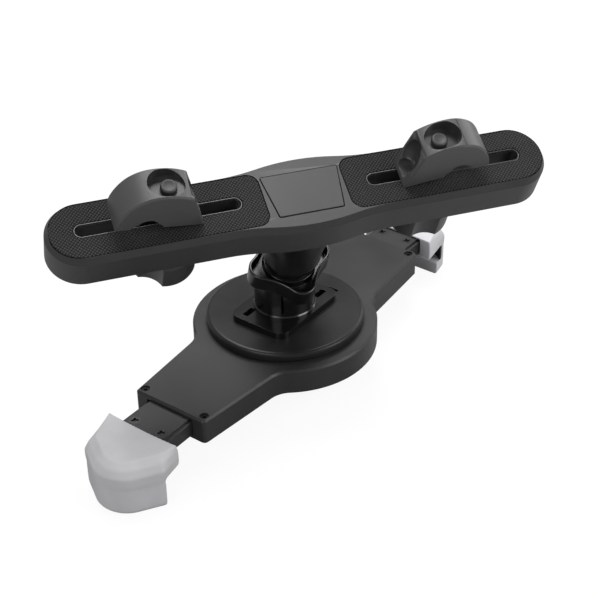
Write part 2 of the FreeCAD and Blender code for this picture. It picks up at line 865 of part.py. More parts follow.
def pad_outline(grow=0.0):
    """The right pad: a half round outer end and a squared inner end with round corners."""
    outer = pad_radius + grow
    inner = pad_inner - grow
    corner = pad_corner + grow
    edges = [arc((pad_arc_centre, 0), outer, -90, 90)]
    for side in (1, -1):
        turn = 90 if side > 0 else 180
        edges.append(arc((inner + corner, side * (outer - corner)), corner, turn, turn + 90))
        edges.append(line((inner + corner, side * outer, 0), (pad_arc_centre, side * outer, 0)))
    edges.append(line((inner, outer - corner, 0), (inner, corner - outer, 0)))
    return joined(edges)


def panel_outline(grow=0.0):
    far, near = panel_far_half + grow, panel_near_half + grow
    top, foot = panel_far_edge + grow, panel_near_edge - grow
    corners = [V(far, top, 0), V(-far, top, 0), V(-near, foot, 0), V(near, foot, 0)]
    plate = Part.Face(Part.makePolygon(corners + corners[:1])).extrude(V(0, 0, 1))
    upright = [e for e in plate.Edges if abs(e.Vertexes[0].Z - e.Vertexes[1].Z) > 0.5]
    plate = plate.makeFillet(panel_corner + grow, upright)
    foot_face = min(plate.Faces, key=lambda face: face.CenterOfMass.z)
    return foot_face.OuterWire


def mirrored(shape):
    return turned(shape, 180)


def neck():
    thread = rod(neck_radius, neck_start, neck_thread_end)
    flare = cone(neck_radius, neck_waist, neck_thread_end, neck_cone_end)
    sections = []
    sizes = [(neck_waist, neck_waist), neck_middle_size, neck_root_size]
    for level, (a, b) in zip((neck_cone_end, neck_middle, bar_bottom + 1), sizes):
        sections.append(Part.Wire(Part.Ellipse(V(0, 0, level), a, b).toShape()))
    return thread.fuse([flare, Part.makeLoft(sections, True, False)])


def bar_body():
    rim, foot = (bar_bevel, bar_bevel_height), (bar_foot_bevel, bar_foot_bevel)
    bar = bevelled(bar_outline, bar_bottom, bar_top, *rim, *foot)
    bar = bar.fuse(neck())
    recess_floor = bar_top - pad_thickness
    deck = recess_floor - bar_deck
    tools = []
    pad_recess = prism(pad_outline(pad_groove), recess_floor, bar_top + 1)
    slot = prism(obround(slot_inner, slot_outer, bar_slot_half_width), bar_bottom - 1, bar_top + 1)
    tools += [pad_recess, mirrored(pad_recess), slot, mirrored(slot)]
    tools.append(prism(panel_outline(panel_groove), bar_top - panel_thickness, bar_top + 1))
    tools.append(rod(stud_rod + running_gap, 0, bar_top))
    tools.append(rod(stud_pocket_radius, stud_pocket_floor, bar_top + 1))
    pitch = (cell_end - cell_start + cell_rib) / cell_count
    inner_y = bar_slot_half_width + rib_wall
    outer_y = bar_half_width - bar_wall
    for number in range(cell_count):
        x0 = cell_start + number * pitch
        for y0, y1 in ((inner_y, outer_y), (-outer_y, -inner_y)):
            cell = box(x0, x0 + pitch - cell_rib, y0, y1, bar_bottom - 1, deck)
            tools += [cell, mirrored(cell)]
    return one_solid(bar.cut(tools))


def bar_pad():
    pad = prism(pad_outline(), bar_top - pad_thickness, bar_top)
    return one_solid(pad.cut(prism(obround(slot_inner, slot_outer, pad_slot_half_width), 0, bar_top + 1)))


def centre_panel():
    return prism(panel_outline(), bar_top - panel_thickness, bar_top + panel_rise)


# Clamping jaws, drawn with the bolt on the Z axis, the outer end towards +X and the pad at height 0
def leaves_circle(start, direction, centre, radius):
    """The point where a ray that starts inside a circle leaves it."""
    away = start - centre
    along = away.dot(direction)
    return start + direction * (math.sqrt(along ** 2 - away.Length ** 2 + radius ** 2) - along)


def jaw_profile():
    """Two crown arcs, an outer end arc, a small corner, the inner flank and an underside that leans up."""
    def on_circle(radius, centre, degrees):
        turn = math.radians(degrees)
        return centre + V(math.cos(turn), 0, math.sin(turn)) * radius

    def bend(radius, centre, start, end):
        points = [on_circle(radius, centre, a) for a in (start, 0.5 * (start + end), end)]
        return Part.Arc(*points).toShape()

    def bearing(point, centre):
        return math.degrees(math.atan2(point.z - centre.z, point.x - centre.x))

    outer_centre = V(crown_station, 0, crown_top - crown_outer_radius)
    inner_centre = V(crown_station, 0, crown_top - crown_inner_radius)
    end_centre = on_circle(crown_outer_radius - jaw_end_radius, outer_centre, crown_outer_turn)
    heel = V(heel_station, 0, 0)
    lean, flank = math.radians(jaw_lean), math.radians(flank_lean)
    up = V(math.sin(flank), 0, math.cos(flank))
    inward = V(math.cos(flank), 0, -math.sin(flank))
    toe = leaves_circle(heel, V(math.cos(lean), 0, math.sin(lean)), end_centre, jaw_end_radius)
    corner = leaves_circle(heel + inward * jaw_corner, up, inner_centre, crown_inner_radius - jaw_corner)
    turn = bearing(corner, inner_centre)
    flank_top = corner - inward * jaw_corner
    edges = [
        bend(jaw_end_radius, end_centre, bearing(toe, end_centre), crown_outer_turn),
        bend(crown_outer_radius, outer_centre, crown_outer_turn, 90),
        bend(crown_inner_radius, inner_centre, 90, turn),
        bend(jaw_corner, corner, turn, 180 - flank_lean),
        Part.LineSegment(flank_top, heel).toShape(),
        Part.LineSegment(heel, toe).toShape(),
    ]
    return joined(edges)


def across_bar(radius, station, height):
    """A round bar across the headrest bar, to cut with."""
    return Part.makeCylinder(radius, 4 * jaw_half_width, V(station, -2 * jaw_half_width, height), V(0, 1, 0))


def jaw():
    face = Part.Face(jaw_profile())
    face.translate(V(0, -jaw_half_width, 0))
    block = face.extrude(V(0, 2 * jaw_half_width, 0))
    rim = [e for e in block.Edges if abs(abs(e.CenterOfMass.y) - jaw_half_width) < 0.01]
    block = block.makeChamfer(jaw_edge, rim)
    seat = across_bar(post_radius, post_station, post_radius + running_gap)
    arches = [across_bar(arch_radius, arch_station, 0), seat]
    top = crown_top + 1
    bore = prism(obround(-counterbore_radius, counterbore_radius + counterbore_shift, counterbore_radius),
                 counterbore_floor, top)
    scoop = Part.makeCylinder(scoop_radius, scoop_depth, V(0, 0, 0), V(0, 0, 1))
    scoop = scoop.fuse(Part.makeSphere(scoop_radius))
    scoop = turned(scoop, -scoop_lean, axis=V(0, 1, 0))
    scoop = moved(scoop, heel_station + scoop_radius / 2, 0, counterbore_floor / 2)
    core = prism(rounded_rectangle(core_height, core_width, core_height / 2 - seat_gap), 0, core_depth)
    core = moved(turned(core, 90, axis=V(0, 1, 0)), heel_station - 1, 0, core_level)
    guide = box(-guide_half_length, guide_half_length, -bar_slot_half_width + slide_gap,
                bar_slot_half_width - slide_gap, -guide_depth, guide_rise)
    solid = block.cut(arches + [bore, scoop, core])
    solid = solid.fuse(guide.cut(arches)).cut(rod(jaw_bolt_hole, -guide_depth - 1, top))
    return max(one_solid(solid).Solids, key=lambda piece: piece.Volume)


def clamp_bolt():
    head_top = counterbore_floor + bolt_head_height
    shank = rod(bolt_radius, bolt_tip, counterbore_floor)
    bolt = shank.fuse(rod(bolt_head_radius, counterbore_floor, head_top))
    head_edges = [e for e in bolt.Edges if abs(e.CenterOfMass.z - head_top) < 0.01]
    bolt = bolt.makeChamfer(bolt_head_bevel, head_edges)
    slots = cross_recess(2 * bolt_recess_half, bolt_recess_depth, head_top, 0, 0, 20)
    return one_solid(bolt.cut(slots))


def knob_top():
    return -bar_thickness - slide_gap - slide_washer_thickness - gap


def knob():
    top = knob_top()
    foot = top - knob_height
    solid = bevelled(notched, foot, top, knob_bevel, knob_bevel, knob_foot_bevel, knob_foot_bevel)
    tools = [rod(insert_radius + seat_gap, foot - 1, top + 1)]
    tools.append(rod(knob_core_radius, foot - 1, foot + knob_core_depth))
    return one_solid(solid.cut(tools))


def knob_insert():
    top = knob_top()
    body = rod(insert_radius, top - insert_height, top)
    return one_solid(body.cut(rod(bolt_radius + running_gap, top - insert_height - 1, top + 1)))


def slide_washer():
    top = -bar_thickness - slide_gap
    ring = rod(slide_washer_radius, top - slide_washer_thickness, top)
    return ring.cut(rod(bolt_radius + slide_gap, top - 5, top + 5))


def on_bar(shape, side):
    """Puts a clamp piece at its place along the bar, with its outer end outwards."""
    shape = turned(shape, 180) if side == "left" else shape
    return in_bar_frame(moved(shape, jaw_stations[side], 0, bar_top))


def build():
    pieces = {
        "holder_lower_shell": in_arm_frame(holder_lower_shell()),
        "holder_upper_shell": in_arm_frame(holder_upper_shell()),
        "shell_screws": in_arm_frame(shell_screws()),
        "friction_springs": in_arm_frame(friction_springs()),
        "turntable_disc": in_arm_frame(turntable_disc(), far=True),
        "turntable_retainer": in_arm_frame(turntable_retainer(), far=True),
        "turntable_screws": in_arm_frame(turntable_screws(), far=True),
        "socket_plate": in_arm_frame(socket_plate(), far=True),
        "ball_cup": ball_cup(),
        "ball_liner": in_bar_frame(ball_liner()),
        "ball_stud": in_bar_frame(ball_stud()),
        "stud_washer": in_bar_frame(stud_washer()),
        "stud_nut": in_bar_frame(stud_nut()),
        "bar_body": in_bar_frame(bar_body()),
        "centre_panel": in_bar_frame(centre_panel()),
        "pad_right": in_bar_frame(bar_pad()),
        "pad_left": in_bar_frame(mirrored(bar_pad())),
        "nut_washer": in_bar_frame(nut_washer()),
        "ring_nut": in_bar_frame(ring_nut()),
    }
    for name, far in (("near", False), ("far", True)):
        pieces["arm_" + name] = in_arm_frame(sliding_arm(far), far)
        pieces["claw_" + name] = claw(far)
        pieces["claw_pad_" + name] = claw_pad(far)
        pieces["claw_screws_" + name] = in_arm_frame(claw_screws(far), far)
    for side in ("left", "right"):
        pieces["jaw_" + side] = on_bar(jaw(), side)
        pieces["clamp_bolt_" + side] = on_bar(clamp_bolt(), side)
        start = knob_turns[side] + (180 if side == "left" else 0)
        pieces["knob_" + side] = on_bar(turned(knob(), start), side)
        pieces["knob_insert_" + side] = on_bar(knob_insert(), side)
        pieces["slide_washer_" + side] = on_bar(slide_washer(), side)
    return pieces


os.makedirs("parts", exist_ok=True)
for node, shape in build().items():
    shape.exportStep("parts/" + node + ".step")
    size = shape.BoundBox
    print(node, len(shape.Solids), round(shape.Volume / 1000, 3), "cm3", shape.isValid(),
          [round(v, 1) for v in (size.XMin, size.XMax, size.YMin, size.YMax, size.ZMin, size.ZMax)])
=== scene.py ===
import math

import bmesh
import bpy
from mathutils import Matrix, Vector


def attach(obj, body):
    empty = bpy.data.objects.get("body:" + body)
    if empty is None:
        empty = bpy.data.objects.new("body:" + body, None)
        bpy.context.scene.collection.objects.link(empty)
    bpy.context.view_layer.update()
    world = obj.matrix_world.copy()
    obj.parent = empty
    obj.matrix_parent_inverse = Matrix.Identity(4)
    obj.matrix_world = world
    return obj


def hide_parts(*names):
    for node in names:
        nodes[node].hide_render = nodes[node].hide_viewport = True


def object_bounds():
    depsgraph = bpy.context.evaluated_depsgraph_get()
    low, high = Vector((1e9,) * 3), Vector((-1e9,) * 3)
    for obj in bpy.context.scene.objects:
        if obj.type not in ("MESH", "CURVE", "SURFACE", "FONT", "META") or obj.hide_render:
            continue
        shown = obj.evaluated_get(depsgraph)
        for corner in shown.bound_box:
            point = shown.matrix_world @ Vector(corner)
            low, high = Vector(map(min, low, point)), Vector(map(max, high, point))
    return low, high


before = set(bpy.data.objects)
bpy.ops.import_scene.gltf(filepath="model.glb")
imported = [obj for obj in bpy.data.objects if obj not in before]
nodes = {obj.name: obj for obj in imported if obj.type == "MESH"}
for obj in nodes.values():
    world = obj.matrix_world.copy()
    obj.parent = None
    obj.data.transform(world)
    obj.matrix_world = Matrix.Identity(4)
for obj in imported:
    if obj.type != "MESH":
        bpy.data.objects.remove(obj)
cad_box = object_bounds()


# Holder shells
# Two thin black mouldings, screwed together from above, with a flat underside.
# Injection moulded with a fine satin grain; the upper one has softly rounded edges.
def black_plastic(name, grey, roughness, grain=0.12, grain_size=0.0006, warmth=0.0, specular=0.45):
    """A dyed moulding: a fine even grain, slightly uneven gloss and a faint change of tone."""
    material = bpy.data.materials.new(name)
    material.use_nodes = True
    tree = material.node_tree
    shader = tree.nodes["Principled BSDF"]
    place = tree.nodes.new("ShaderNodeTexCoord")
    tone = tree.nodes.new("ShaderNodeTexNoise")
    tone.inputs["Scale"].default_value = 45.0
    tone.inputs["Detail"].default_value = 3.0
    ramp = tree.nodes.new("ShaderNodeValToRGB")
    low, high = grey * 0.9, grey * 1.1
    ramp.color_ramp.elements[0].position = 0.3
    ramp.color_ramp.elements[0].color = (low * (1 + warmth), low, low * (1 + 0.04 - warmth), 1)
    ramp.color_ramp.elements[1].position = 0.7
    ramp.color_ramp.elements[1].color = (high * (1 + warmth), high, high * (1 + 0.04 - warmth), 1)
    gloss = tree.nodes.new("ShaderNodeMapRange")
    gloss.inputs["From Min"].default_value = 0.3
    gloss.inputs["From Max"].default_value = 0.7
    gloss.inputs["To Min"].default_value = max(roughness - 0.05, 0.05)
    gloss.inputs["To Max"].default_value = roughness + 0.05
    fine = tree.nodes.new("ShaderNodeTexNoise")
    fine.inputs["Scale"].default_value = 1.0 / grain_size
    fine.inputs["Detail"].default_value = 2.0
    bump = tree.nodes.new("ShaderNodeBump")
    bump.inputs["Strength"].default_value = grain
    bump.inputs["Distance"].default_value = grain_size * 0.15
    tree.links.new(place.outputs["Object"], tone.inputs["Vector"])
    tree.links.new(place.outputs["Object"], fine.inputs["Vector"])
    tree.links.new(tone.outputs["Fac"], ramp.inputs["Fac"])
    tree.links.new(ramp.outputs["Color"], shader.inputs["Base Color"])
    tree.links.new(tone.outputs["Fac"], gloss.inputs["Value"])
    tree.links.new(gloss.outputs["Result"], shader.inputs["Roughness"])
    tree.links.new(fine.outputs["Fac"], bump.inputs["Height"])
    tree.links.new(bump.outputs["Normal"], shader.inputs["Normal"])
    shader.inputs["Specular IOR Level"].default_value = specular
    return material


def paint(node, material):
    """Gives one of the mount's plain pieces its finish."""
    mesh = nodes[node].data
    mesh.materials.clear()
    mesh.materials.append(material)


def ease_edges(piece, wanted, width, steps):
    """Rounds the edges that wanted picks, which looks at their ends and at the faces beside them."""
    bpy.ops.object.mode_set(mode="EDIT")
    bpy.ops.mesh.select_mode(type="EDGE")
    bpy.ops.mesh.select_all(action="DESELECT")
    mesh = bmesh.from_edit_mesh(piece.data)
    mesh.normal_update()
    for edge in mesh.edges:
        edge.select_set(len(edge.link_faces) == 2 and wanted(edge))
    bmesh.update_edit_mesh(piece.data)
    bpy.ops.mesh.bevel(offset=width, segments=steps, affect="EDGES", clamp_overlap=True)
    bpy.ops.object.mode_set(mode="OBJECT")


def select_only(piece):
    for other in bpy.context.selected_objects:
        other.select_set(False)
    piece.select_set(True)
    bpy.context.view_layer.objects.active = piece


def softened(node, name, material, body, round_edge, eased=()):
    """A copy of a moulded piece with its edges eased as the mould leaves them."""
    piece = nodes[node].copy()
    piece.data = nodes[node].data.copy()
    for key in list(piece.keys()):
        del piece[key]
    piece.name = name
    bpy.context.scene.collection.objects.link(piece)
    piece.parent = None
    select_only(piece)
    bpy.ops.object.mode_set(mode="EDIT")
    bpy.ops.mesh.select_all(action="SELECT")
    bpy.ops.mesh.remove_doubles(threshold=0.000002)
    bpy.ops.mesh.customdata_custom_splitnormals_clear()
    bpy.ops.mesh.dissolve_limited(angle_limit=math.radians(0.6))
    bpy.ops.object.mode_set(mode="OBJECT")
    for wanted, width, steps in eased:
        ease_edges(piece, wanted, width, steps)
    ease = piece.modifiers.new("ease", "BEVEL")
    ease.width = round_edge
    ease.segments = 3
    ease.limit_method = "ANGLE"
    ease.angle_limit = math.radians(28)
    ease.miter_outer = "MITER_ARC"
    bpy.ops.object.modifier_apply(modifier=ease.name)
    bpy.ops.object.shade_smooth_by_angle(angle=math.radians(35))
    even = piece.modifiers.new("even", "WEIGHTED_NORMAL")
    even.keep_sharp = True
    bpy.ops.object.modifier_apply(modifier=even.name)
    piece.data.materials.clear()
    piece.data.materials.append(material)
    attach(piece, body)
    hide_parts(node)
    piece.select_set(False)
    return piece


parting_height = 0.0062


def at_level(edge, level):
    return all(abs(end.co.z - level) < 0.00003 for end in edge.verts)


def faces_out(edge):
    """Whether an upright face beside the edge looks away from the turntable's axis."""
    middle = 0.5 * (edge.verts[0].co + edge.verts[1].co)
    return any(abs(f.normal.z) < 0.1 and f.normal.xy.dot(middle.xy) > 0 for f in edge.link_faces)


def on_parting(edge):
    return at_level(edge, parting_height) and faces_out(edge)


shell_black = black_plastic("shell_black", 0.021, 0.4, grain=0.2, specular=0.3)
softened("holder_lower_shell", "holder_base", shell_black, "holder", 0.0002,
         eased=[(on_parting, 0.0003, 2)])
softened("holder_upper_shell", "holder_cover", shell_black, "holder", 0.0004,
         eased=[(on_parting, 0.0003, 2)])


# Small steel parts
# Screws, washers and nuts. The ones in sight are blackened steel, the hidden ones plain zinc.
# Turned and rolled, with a faint brushed grain and a dull shine.
def metal(name, colour, roughness, streak=900.0):
    """Turned or rolled metal with a faint streaky grain."""
    material = bpy.data.materials.new(name)
    material.use_nodes = True
    tree = material.node_tree
    shader = tree.nodes["Principled BSDF"]
    place = tree.nodes.new("ShaderNodeTexCoord")
    stretch = tree.nodes.new("ShaderNodeMapping")
    stretch.inputs["Scale"].default_value = (1.0, 1.0, 6.0)
    grain = tree.nodes.new("ShaderNodeTexNoise")
    grain.inputs["Scale"].default_value = streak
    ramp = tree.nodes.new("ShaderNodeValToRGB")
    ramp.color_ramp.elements[0].color = tuple(c * 0.85 for c in colour) + (1,)
    ramp.color_ramp.elements[1].color = tuple(min(c * 1.12, 1.0) for c in colour) + (1,)
    polish = tree.nodes.new("ShaderNodeMapRange")
    polish.inputs["To Min"].default_value = roughness - 0.08
    polish.inputs["To Max"].default_value = roughness + 0.08
    bump = tree.nodes.new("ShaderNodeBump")
    bump.inputs["Strength"].default_value = 0.1
    bump.inputs["Distance"].default_value = 0.00005
    tree.links.new(place.outputs["Object"], stretch.inputs["Vector"])
    tree.links.new(stretch.outputs["Vector"], grain.inputs["Vector"])
    tree.links.new(grain.outputs["Fac"], ramp.inputs["Fac"])
    tree.links.new(ramp.outputs["Color"], shader.inputs["Base Color"])
    tree.links.new(grain.outputs["Fac"], polish.inputs["Value"])
    tree.links.new(polish.outputs["Result"], shader.inputs["Roughness"])
    tree.links.new(grain.outputs["Fac"], bump.inputs["Height"])
    tree.links.new(bump.outputs["Normal"], shader.inputs["Normal"])
    shader.inputs["Metallic"].default_value = 1.0
    return material


black_screw = metal("black_screw", (0.05, 0.05, 0.052), 0.42)
sunk_screw = metal("sunk_screw", (0.02, 0.02, 0.021), 0.5)
bright_steel = metal("bright_steel", (0.5, 0.5, 0.51), 0.3)
paint("shell_screws", sunk_screw)
paint("friction_springs", bright_steel)
paint("turntable_screws", bright_steel)
paint("stud_washer", bright_steel)
paint("stud_nut", bright_steel)
paint("slide_washer_left", black_screw)
paint("slide_washer_right", black_screw)


# Sliding arms
# Flat black channels that run out of the holder's two ends, each with two countersunk screws.
# Injection moulded, satin, with a raised middle and a low shoulder on each side.
arm_black = black_plastic("arm_black", 0.025, 0.4, grain=0.15, specular=0.32)
softened("arm_near", "slide_near", arm_black, "arm_near", 0.0003)
softened("arm_far", "slide_far", arm_black, "arm_far", 0.0003)
arm_screw = metal("arm_screw", (0.065, 0.065, 0.067), 0.36)
paint("claw_screws_near", arm_screw)
paint("claw_screws_far", arm_screw)


# Corner claws
# Light grey hooks at the two arms' ends, open towards the middle, with a strip of rubber inside.
# Moulded thick and matt, with generously rounded outer edges.
claw_skin = 0.00045
shoulder_foot = 0.0030
shoulder_full = 0.0048
shoulder_fade = 0.003
toe_full = -0.012
toe_fade = 0.001
cap_foot = 0.00015
cap_foot_reach = 0.0016
arm_direction = Vector((math.cos(math.radians(35.0)), math.sin(math.radians(35.0)), 0))


def round_claw(piece, inner_edge):
    """Gives a claw an even skin, and rounds its shoulders and toe, but not what faces the arm."""
    select_only(piece)
    skin = piece.modifiers.new("skin", "REMESH")
    skin.mode = "VOXEL"
    skin.voxel_size = claw_skin
    bpy.ops.object.modifier_apply(modifier=skin.name)
    everywhere = piece.vertex_groups.new(name="everywhere")
    shoulders = piece.vertex_groups.new(name="shoulders")
    step = piece.vertex_groups.new(name="step")
    for point in piece.data.vertices:
        outward = abs(point.co.dot(arm_direction)) - inner_edge
        outward = min(max(outward / shoulder_fade, 0.0), 1.0)
        raised = (point.co.z - shoulder_foot) / (shoulder_full - shoulder_foot)
        lowered = (toe_full + toe_fade - point.co.z) / toe_fade
        everywhere.add([point.index], 1.0, "REPLACE")
        share = outward * min(max(raised, lowered, 0.0), 1.0)
        shoulders.add([point.index], share, "REPLACE")
        near_step = 1.5 - abs(point.co.z - cap_foot) / cap_foot_reach
        step.add([point.index], min(max(near_step, 0.0), 1.0), "REPLACE")
    for group, turns in (("everywhere", 2), ("shoulders", 9), ("step", 30)):
        smooth = piece.modifiers.new(group, "SMOOTH")
        smooth.vertex_group = group
        smooth.factor = 0.5
        smooth.iterations = turns
        bpy.ops.object.modifier_apply(modifier=smooth.name)
    bpy.ops.object.shade_smooth_by_angle(angle=math.radians(40))
    piece.vertex_groups.clear()
    piece.select_set(False)


claw_grey = black_plastic("claw_grey", 0.45, 0.6, grain=0.15, specular=0.3)
lining_rubber = black_plastic("lining_rubber", 0.02, 0.8, grain=0.3, specular=0.2)
for end, inner_edge in (("near", 0.1012), ("far", 0.0965)):
    claw = softened("claw_" + end, "corner_claw_" + end, claw_grey, "arm_" + end, 0.0002)
    round_claw(claw, inner_edge)
    softened("claw_pad_" + end, "claw_lining_" + end, lining_rubber, "arm_" + end, 0.00025)


# Turntable
# A flat round disc on a short hub that turns in the holder's upper shell.
# Moulded in a darker black than the shells, its rim rounded over.
def on_disc_rim(edge):
    return all(end.co.xy.length > 0.0349 and end.co.z > 0.0148 for end in edge.verts)


disc_black = black_plastic("disc_black", 0.011, 0.34, grain=0.18, specular=0.25)
softened("turntable_disc", "turntable", disc_black, "turntable", 0.0002,
         eased=[(on_disc_rim, 0.0004, 3)])
paint("turntable_retainer", shell_black)


# Socket plate and ball cup
# A small plate with two slots carries the round cup that grips the ball.
# Both are a harder, glossier black, made very dark partly as painted shade from the bar above; the cup
# has four slits so that it can spring.
# This very dark black is partly painted shade from the bar overhead.
socket_black = black_plastic("socket_black", 0.005, 0.2, grain=0.04, specular=0.5)
softened("socket_plate", "cup_plate", socket_black, "turntable", 0.0005)
softened("ball_cup", "cup", socket_black, "turntable", 0.0002)


# Ball joint
# A nylon lining in the cup holds the steel ball on its stud.
# The lining is black nylon, the ball is turned and polished.
nylon = black_plastic("nylon", 0.01, 0.5, grain=0.08, specular=0.2)
ball_steel = metal("ball_steel", (0.45, 0.45, 0.46), 0.25, streak=400.0)
paint("ball_liner", nylon)
paint("ball_stud", ball_steel)


# Headrest bar
# The long bar with its neck, one black moulding with a bevelled rim and a ribbed underside.
# Its fine satin texture catches a soft line of light along the bevel; its neck below the bar is painted
# a deeper black as shade.
bar_tilt = math.radians(25.8)
bar_normal = Vector((0, -math.sin(bar_tilt), math.cos(bar_tilt)))
ball_centre = Vector((0, 0, 0.0308))
bar_top = 0.0726
bar_underside = 0.0551


def height_on_bar(point):
    """How far a point lies above the ball's centre, square to the bar."""
    return (point - ball_centre).dot(bar_normal)


def on_bar_rim(edge):
    """The two rings of the long bevel round the bar's face."""
    sloping = any(0.3 < face.normal.dot(bar_normal) < 0.7 for face in edge.link_faces)
    heights = [height_on_bar(end.co) for end in edge.verts]
    return sloping and any(all(abs(h - level) < 0.00004 for h in heights) for level in (0.0694, bar_top))


bar_black = black_plastic("bar_black", 0.026, 0.42, grain=0.2, specular=0.35)
# The neck below the bar gets a deeper black, which is painted shade from the bar above.
neck_painted_shade = black_plastic("neck_painted_shade", 0.007, 0.36, grain=0.1, specular=0.35)
bar = softened("bar_body", "headrest_bar", bar_black, "bar", 0.0002, eased=[(on_bar_rim, 0.0004, 3)])
bar.data.materials.append(neck_painted_shade)
# Faces of the neck below the bar take the painted shade.
for face in bar.data.polygons:
    below = height_on_bar(face.center) < bar_underside - 0.0002
    face.material_index = 1 if below and abs(face.center.x) < 0.03 else 0
softened("centre_panel", "centre_cover", bar_black, "bar", 0.0002)


# Rubber pads
# Two long rubber pads let into the bar's face, each with a slot for the jaw's bolt.
# Moulded rubber with a fine diamond hatch, so that the post can't slip.
def hatched_rubber(name, grey, pitch, tilt):
    """Black rubber with two crossing sets of fine grooves, laid out in the bar's own plane, with painted
    shade in the grooves and painted light on the ridges.
    """
    material = black_plastic(name, grey, 0.65, specular=0.15)
    tree = material.node_tree
    shader = tree.nodes["Principled BSDF"]
    place = tree.nodes.new("ShaderNodeTexCoord")
    level = tree.nodes.new("ShaderNodeMapping")
    level.vector_type = "POINT"
    level.inputs["Rotation"].default_value = (-tilt, 0, 0)
    parts = tree.nodes.new("ShaderNodeSeparateXYZ")
    tree.links.new(place.outputs["Object"], level.inputs["Vector"])
    tree.links.new(level.outputs["Vector"], parts.inputs["Vector"])
    ridges = []
    for operation in ("ADD", "SUBTRACT"):
        mix = tree.nodes.new("ShaderNodeMath")
        mix.operation = operation
        tree.links.new(parts.outputs["X"], mix.inputs[0])
        tree.links.new(parts.outputs["Y"], mix.inputs[1])
        wave = tree.nodes.new("ShaderNodeMath")
        wave.operation = "PINGPONG"
        wave.inputs[1].default_value = pitch * math.sqrt(0.5)
        tree.links.new(mix.outputs["Value"], wave.inputs[0])
        ridges.append(wave)
    low = tree.nodes.new("ShaderNodeMath")
    low.operation = "MINIMUM"
    tree.links.new(ridges[0].outputs["Value"], low.inputs[0])
    tree.links.new(ridges[1].outputs["Value"], low.inputs[1])
    height = tree.nodes.new("ShaderNodeMapRange")
    height.inputs["From Max"].default_value = pitch * 0.35
    tree.links.new(low.outputs["Value"], height.inputs["Value"])
    bump = tree.nodes.new("ShaderNodeBump")
    bump.inputs["Strength"].default_value = 1.0
    bump.inputs["Distance"].default_value = pitch * 0.3
    tree.links.new(height.outputs["Result"], bump.inputs["Height"])
    tree.links.new(bump.outputs["Normal"], shader.inputs["Normal"])
    # Groove bottoms are painted darker as shade, and ridge tops lighter as painted light.
    tone = tree.nodes.new("ShaderNodeValToRGB")
    tone.color_ramp.elements[0].position = 0.1
    tone.color_ramp.elements[0].color = (grey * 0.15, grey * 0.15, grey * 0.15, 1)
    tone.color_ramp.elements[1].position = 0.8
    tone.color_ramp.elements[1].color = (grey * 1.7, grey * 1.7, grey * 1.75, 1)
    tree.links.new(height.outputs["Result"], tone.inputs["Fac"])
    tree.links.new(tone.outputs["Color"], shader.inputs["Base Color"])
    return material


pad_rubber = hatched_rubber("pad_rubber", 0.018, 0.00115, bar_tilt)
softened("pad_left", "grip_pad_left", pad_rubber, "bar", 0.0003)
softened("pad_right", "grip_pad_right", pad_rubber, "bar", 0.0003)


# Slot lips
# The bar's moulding stands up in a thin lip round each slot, and the rubber is fitted about it.
# Same black as the bar, its top rounded over by the mould.
lip_radius = 0.00305
lip_wall = 0.0006
lip_foot = 0.0711
lip_top = 0.0724
lip_start = 0.0308
lip_end = 0.0949


def place_on_bar(station, turn):
    """From a piece made about the Z axis to its place along the tilted bar."""
    along = Matrix.Translation((station, 0, 0)) @ Matrix.Rotation(turn, 4, "Z")
    return Matrix.Translation(ball_centre) @ Matrix.Rotation(bar_tilt, 4, "X") @ along


def to_bar(piece, station, turn):
    piece.matrix_world = place_on_bar(station, turn)
    select_only(piece)
    bpy.ops.object.transform_apply(location=True, rotation=True, scale=True)


def slot_lip(name, turn):
    """One lip: a short tube drawn out along X, given a wall and rounded."""
    bpy.ops.object.select_all(action="DESELECT")
    bpy.ops.mesh.primitive_cylinder_add(vertices=50, radius=lip_radius, depth=lip_top - lip_foot,
                                        end_fill_type="NOTHING", location=(0, 0, 0))
    lip = bpy.context.object
    lip.name = name
    bpy.ops.object.mode_set(mode="EDIT")
    bpy.ops.mesh.select_mode(type="VERT")
    bpy.ops.mesh.select_all(action="DESELECT")
    bpy.ops.object.mode_set(mode="OBJECT")
    for point in lip.data.vertices:
        point.select = point.co.x > 0
    bpy.ops.object.mode_set(mode="EDIT")
    bpy.ops.transform.translate(value=(lip_end - lip_start, 0, 0))
    bpy.ops.mesh.select_all(action="SELECT")
    bpy.ops.transform.translate(value=(lip_start, 0, 0.5 * (lip_foot + lip_top)))
    bpy.ops.object.mode_set(mode="OBJECT")
    wall = lip.modifiers.new("wall", "SOLIDIFY")
    wall.thickness = lip_wall
    wall.offset = 0.0
    bpy.ops.object.modifier_apply(modifier=wall.name)
    ease = lip.modifiers.new("ease", "BEVEL")
    ease.width = 0.0002
    ease.segments = 3
    ease.angle_limit = math.radians(40)
    bpy.ops.object.modifier_apply(modifier=ease.name)
    bpy.ops.object.shade_smooth_by_angle(angle=math.radians(35))
    to_bar(lip, 0.0, turn)
    lip.data.materials.append(lip_black)
    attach(lip, "bar")


lip_black = black_plastic("lip_black", 0.03, 0.3, grain=0.05, specular=0.5)
slot_lip("slot_lip_right", 0.0)
slot_lip("slot_lip_left", math.pi)


# Ring nut and washer
# A hand nut with four lobes that locks the ball by pressing down through a plain washer.
# Glossy black moulding, open at the top, with a thin wall; its black is deepened partly as painted shade
# from the bar above, and its inner faces are painted darker still as shade.
# The nut's very dark black is partly painted shade from the bar; the second, darker black is painted
# shade inside the nut's hollow.
nut_black = black_plastic("nut_black", 0.006, 0.22, grain=0.04, specular=0.5)
nut_inside_painted_shade = black_plastic("nut_inside_painted_shade", 0.003, 0.5, grain=0.04, specular=0.12)
nut = softened("ring_nut", "hand_nut", nut_black, "ring_nut", 0.0004)
nut.data.materials.append(nut_inside_painted_shade)
